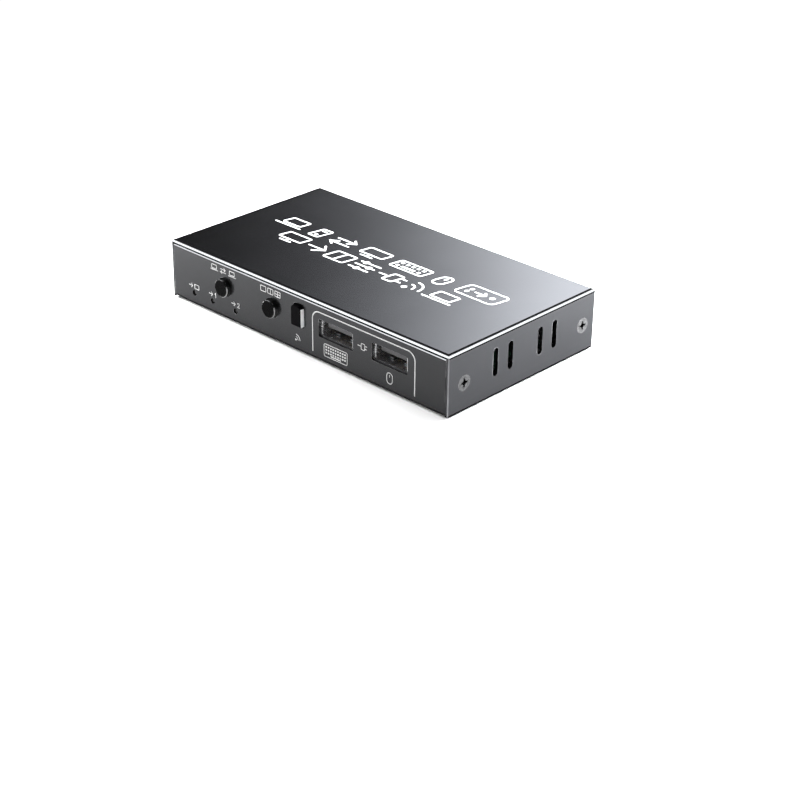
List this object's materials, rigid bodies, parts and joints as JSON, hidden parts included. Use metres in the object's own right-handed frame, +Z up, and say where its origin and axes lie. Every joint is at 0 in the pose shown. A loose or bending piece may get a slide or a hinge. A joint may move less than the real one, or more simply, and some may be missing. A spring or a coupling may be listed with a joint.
{
  "type": "kvm switch",
  "caption": "Desktop switch box in a folded metal case: push buttons, status lights, infrared window and USB sockets in front, video sockets and power behind.",
  "frame": {"origin": "centre of the case footprint, on the surface the rubber feet stand on", "axes": "+X to the right as seen from the front, -Y out of the front panel, +Z up"},
  "size_m": [0.12, 0.0684, 0.02],
  "materials": {
    "black_moulding": "fine matte black",
    "board_laminate": "green solder mask",
    "button_gloss": "gloss black",
    "can_aluminium": "bare top, dark sleeve",
    "ceramic_tan": "tan ceramic",
    "chip_epoxy": "matte black",
    "clear_lens": "smoked, unlit",
    "coil_ferrite": "dark grey",
    "contact_metal": "gold plated",
    "cover_paint": "satin dark grey, bare bevelled edges",
    "dark_window": "gloss, nearly black",
    "foot_rubber": "matte black",
    "nickel_brass": "nickel plated",
    "pad_silicone": "soft grey blue",
    "screw_steel": "nickel plated",
    "shell_steel": "bright nickel plated",
    "sink_aluminium": "black anodised",
    "socket_moulding": "pale grey moulding",
    "tin_plate": "tin plated",
    "tray_paint": "satin dark grey"
  },
  "bodies": {
    "enclosure": {"board_screws": "screw_steel", "chassis": "tray_paint", "chip_capacitors": "ceramic_tan", "cover": "cover_paint", "cover_screws": "screw_steel", "crystals": "tin_plate", "dc_jack_body": "black_moulding", "dc_jack_pin": "shell_steel", "dc_jack_spring": "contact_metal", "electrolytic_capacitors": "can_aluminium", "heat_sink": "sink_aluminium", "host_port_1_contacts": "contact_metal", "host_port_1_insert": "socket_moulding", "host_port_1_shell": "shell_steel", "host_port_2_contacts": "contact_metal", "host_port_2_insert": "socket_moulding", "host_port_2_shell": "shell_steel", "ir_leads": "tin_plate", "ir_receiver": "chip_epoxy", "ir_window": "dark_window", "keyboard_port_contacts": "contact_metal", "keyboard_port_insert": "socket_moulding", "keyboard_port_shell": "shell_steel", "main_board": "board_laminate", "main_chip": "chip_epoxy", "memory_chip": "chip_epoxy", "mode_tact_base": "black_moulding", "mode_tact_dome": "shell_steel", "mode_tact_frame": "shell_steel", "mouse_port_contacts": "contact_metal", "mouse_port_insert": "socket_moulding", "mouse_port_shell": "shell_steel", "power_inductors": "coil_ferrite", "rubber_feet": "foot_rubber", "standoffs": "nickel_brass", "status_led_bodies": "black_moulding", "status_led_lenses": "clear_lens", "switch_tact_base": "black_moulding", "switch_tact_dome": "shell_steel", "switch_tact_frame": "shell_steel", "thermal_pad": "pad_silicone", "usb_hub_chip": "chip_epoxy", "video_chips": "chip_epoxy", "video_in_1_contacts": "contact_metal", "video_in_1_insert": "black_moulding", "video_in_1_shell": "shell_steel", "video_in_2_contacts": "contact_metal", "video_in_2_insert": "black_moulding", "video_in_2_shell": "shell_steel", "video_out_contacts": "contact_metal", "video_out_insert": "black_moulding", "video_out_shell": "shell_steel", "voltage_regulators": "chip_epoxy"},
    "switch_button": {"switch_button_cap": "button_gloss", "switch_button_stem": "black_moulding"},
    "mode_button": {"mode_button_cap": "button_gloss", "mode_button_stem": "black_moulding"}
  },
  "joints": [
    {"name": "switch_button_press", "type": "slide", "parent": "enclosure", "child": "switch_button", "axis": [0, 1, 0], "range_m": [0, 0.0004], "stiffness_N_per_m": 4000},
    {"name": "mode_button_press", "type": "slide", "parent": "enclosure", "child": "mode_button", "axis": [0, 1, 0], "range_m": [0, 0.0004], "stiffness_N_per_m": 4000}
  ]
}
